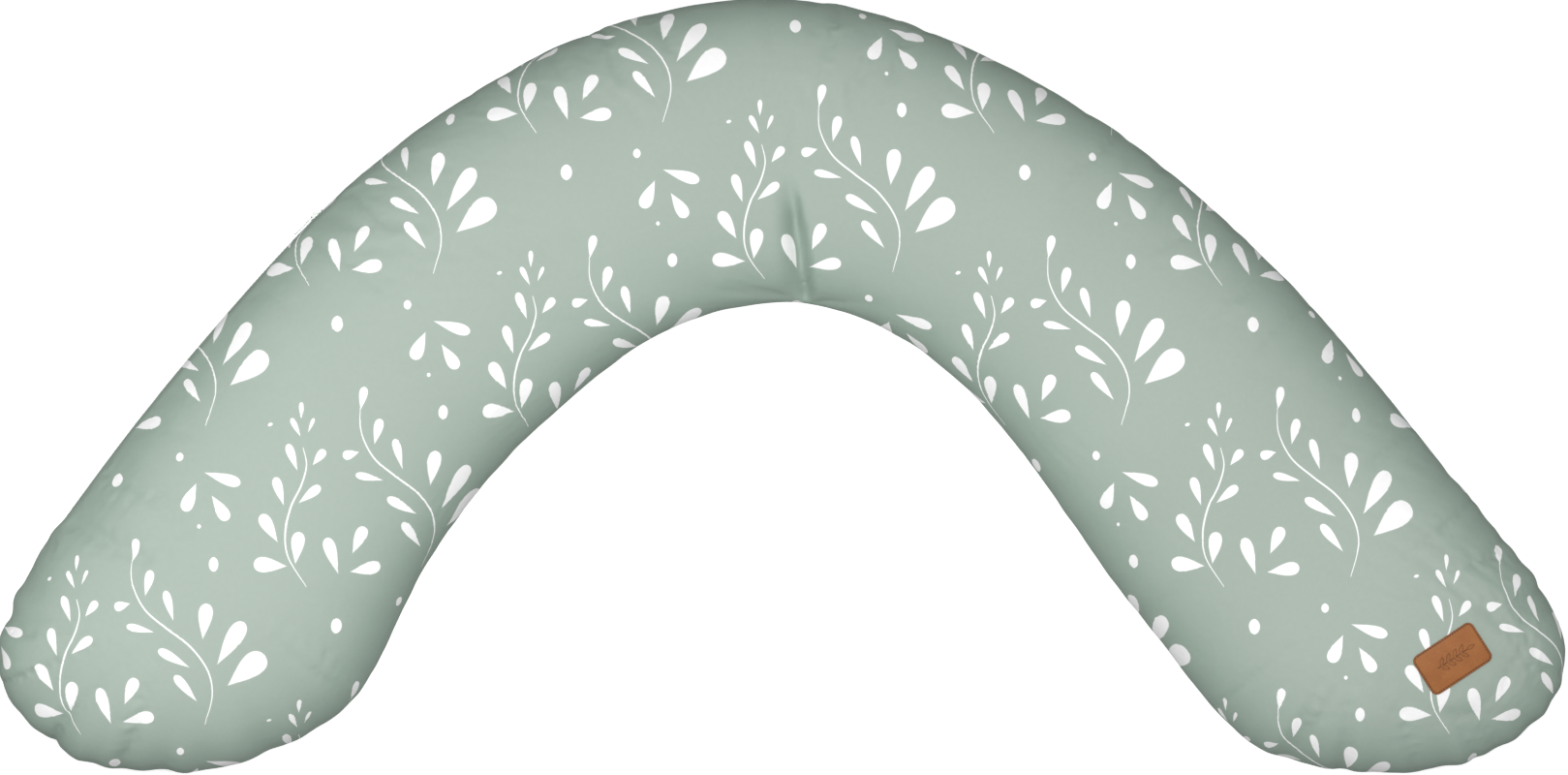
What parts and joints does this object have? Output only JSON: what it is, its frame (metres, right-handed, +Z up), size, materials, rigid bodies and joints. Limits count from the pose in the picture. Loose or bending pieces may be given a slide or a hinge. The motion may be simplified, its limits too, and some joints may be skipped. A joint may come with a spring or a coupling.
{
  "type": "nursing pillow",
  "caption": "Crescent-shaped nursing and pregnancy pillow: bead-filled cushion in a zipped two-panel cotton cover with a leaf print and a leather patch.",
  "frame": {"origin": "centre of the outline in plan, on the floor the pillow lies on", "axes": "+X from the left arm to the right arm, +Y to the outside of the bend, +Z up from the floor"},
  "size_m": [1.5016, 0.7418, 0.1848],
  "materials": {
    "cover_cloth": "cotton weave, sage green with a white leaf print",
    "casing_cloth": "plain white cotton",
    "bead_fill": "fine white beads",
    "zip_tape": "woven polyester tape",
    "zip_nylon": "nylon coil",
    "cover_thread": "polyester thread",
    "zip_metal": "enamelled die casting",
    "patch_leather": "smooth grain, pressed",
    "patch_thread": "waxed thread",
    "label_satin": "satin ribbon"
  },
  "bodies": {
    "left_half": {"cover_top_panel": "cover_cloth", "cover_bottom_panel": "cover_cloth", "inner_casing_top": "casing_cloth", "inner_casing_bottom": "casing_cloth", "bead_fill_left": "bead_fill", "zip_tape_upper": "zip_tape", "zip_tape_lower": "zip_tape", "zip_teeth_upper": "zip_nylon", "zip_teeth_lower": "zip_nylon", "zip_topstitch_upper": "cover_thread", "zip_topstitch_lower": "cover_thread", "zip_top_stops": "zip_nylon", "zip_bottom_stop": "zip_nylon", "care_label": "label_satin"},
    "right_half": {"bead_fill_right": "bead_fill", "leather_patch": "patch_leather", "patch_stitching": "patch_thread"},
    "zip_slider": {"zip_slider": "zip_metal"},
    "zip_pull_tab": {"zip_pull_tab": "zip_metal"}
  },
  "joints": [
    {"name": "arm_flex", "type": "hinge", "parent": "left_half", "child": "right_half", "pos_m": [0, 0.225, 0.084], "axis": [0, 0, 1], "range_deg": [-35, 35], "deforming": ["cover_top_panel", "cover_bottom_panel", "inner_casing_top", "inner_casing_bottom"]},
    {"name": "zip_travel", "type": "hinge", "parent": "left_half", "child": "zip_slider", "pos_m": [1.258, -1.501, 0.084], "axis": [0, 0, 1], "range_deg": [0, 8.63]},
    {"name": "pull_tab_flip", "type": "hinge", "parent": "zip_slider", "child": "zip_pull_tab", "pos_m": [-0.44886, 0.16579, 0.084], "axis": [0, 0, -1], "range_deg": [0, 170]}
  ]
}
